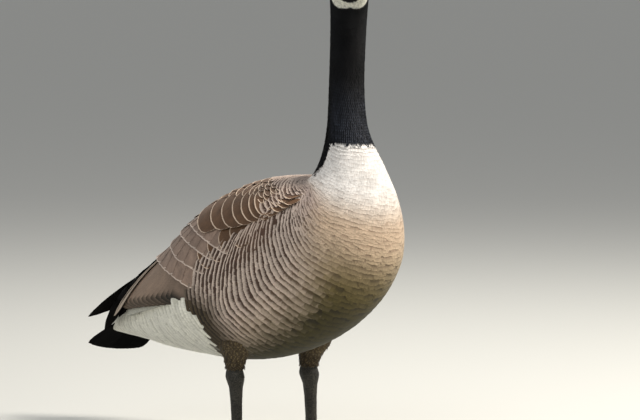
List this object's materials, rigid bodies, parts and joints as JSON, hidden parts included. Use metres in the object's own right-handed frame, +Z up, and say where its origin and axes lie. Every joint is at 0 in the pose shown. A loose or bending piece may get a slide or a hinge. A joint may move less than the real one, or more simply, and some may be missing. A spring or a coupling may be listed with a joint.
{
  "type": "canada goose",
  "caption": "Life-size still model of a Canada goose standing alert on both feet, wings folded, neck upright and head turned to its right.",
  "frame": {"origin": "on the floor under the middle of the bird's box", "axes": "+Z up, the bird faces -Y, its right side is at -X"},
  "size_m": [0.2268, 0.598, 0.7069],
  "materials": {
    "black_plumage": "short, dense black feathers of the head and neck, with a faint blue-grey sheen",
    "body_plumage": "grey-brown body feathers with pale edges, nearly white on the upper breast",
    "white_plumage": "soft white feathers of the vent and of the coverts over the tail",
    "wing_feathers": "brown wing feathers with pale buff edges, black at the primaries",
    "tail_feathers": "glossy black flight feathers of the tail",
    "leg_skin": "dark grey-black scaly skin, matt",
    "claw": "black horn, slightly worn at the tips",
    "eye": "wet, very dark brown",
    "bill": "black horn with a satin surface"
  },
  "bodies": {
    "root": {"head": "black_plumage", "neck_upper": "black_plumage", "neck_lower": "black_plumage", "breast": "body_plumage", "torso": "body_plumage", "rump": "white_plumage", "tail": "tail_feathers", "wing_l": "wing_feathers", "wing_r": "wing_feathers", "thigh_l": "body_plumage", "thigh_r": "body_plumage", "leg_l": "leg_skin", "leg_r": "leg_skin", "foot_l": "leg_skin", "foot_r": "leg_skin", "claw_l_1": "claw", "claw_l_2": "claw", "claw_l_3": "claw", "claw_l_4": "claw", "claw_r_1": "claw", "claw_r_2": "claw", "claw_r_3": "claw", "claw_r_4": "claw", "eye_l": "eye", "eye_r": "eye", "bill_upper": "bill", "bill_lower": "bill"}
  },
  "joints": []
}
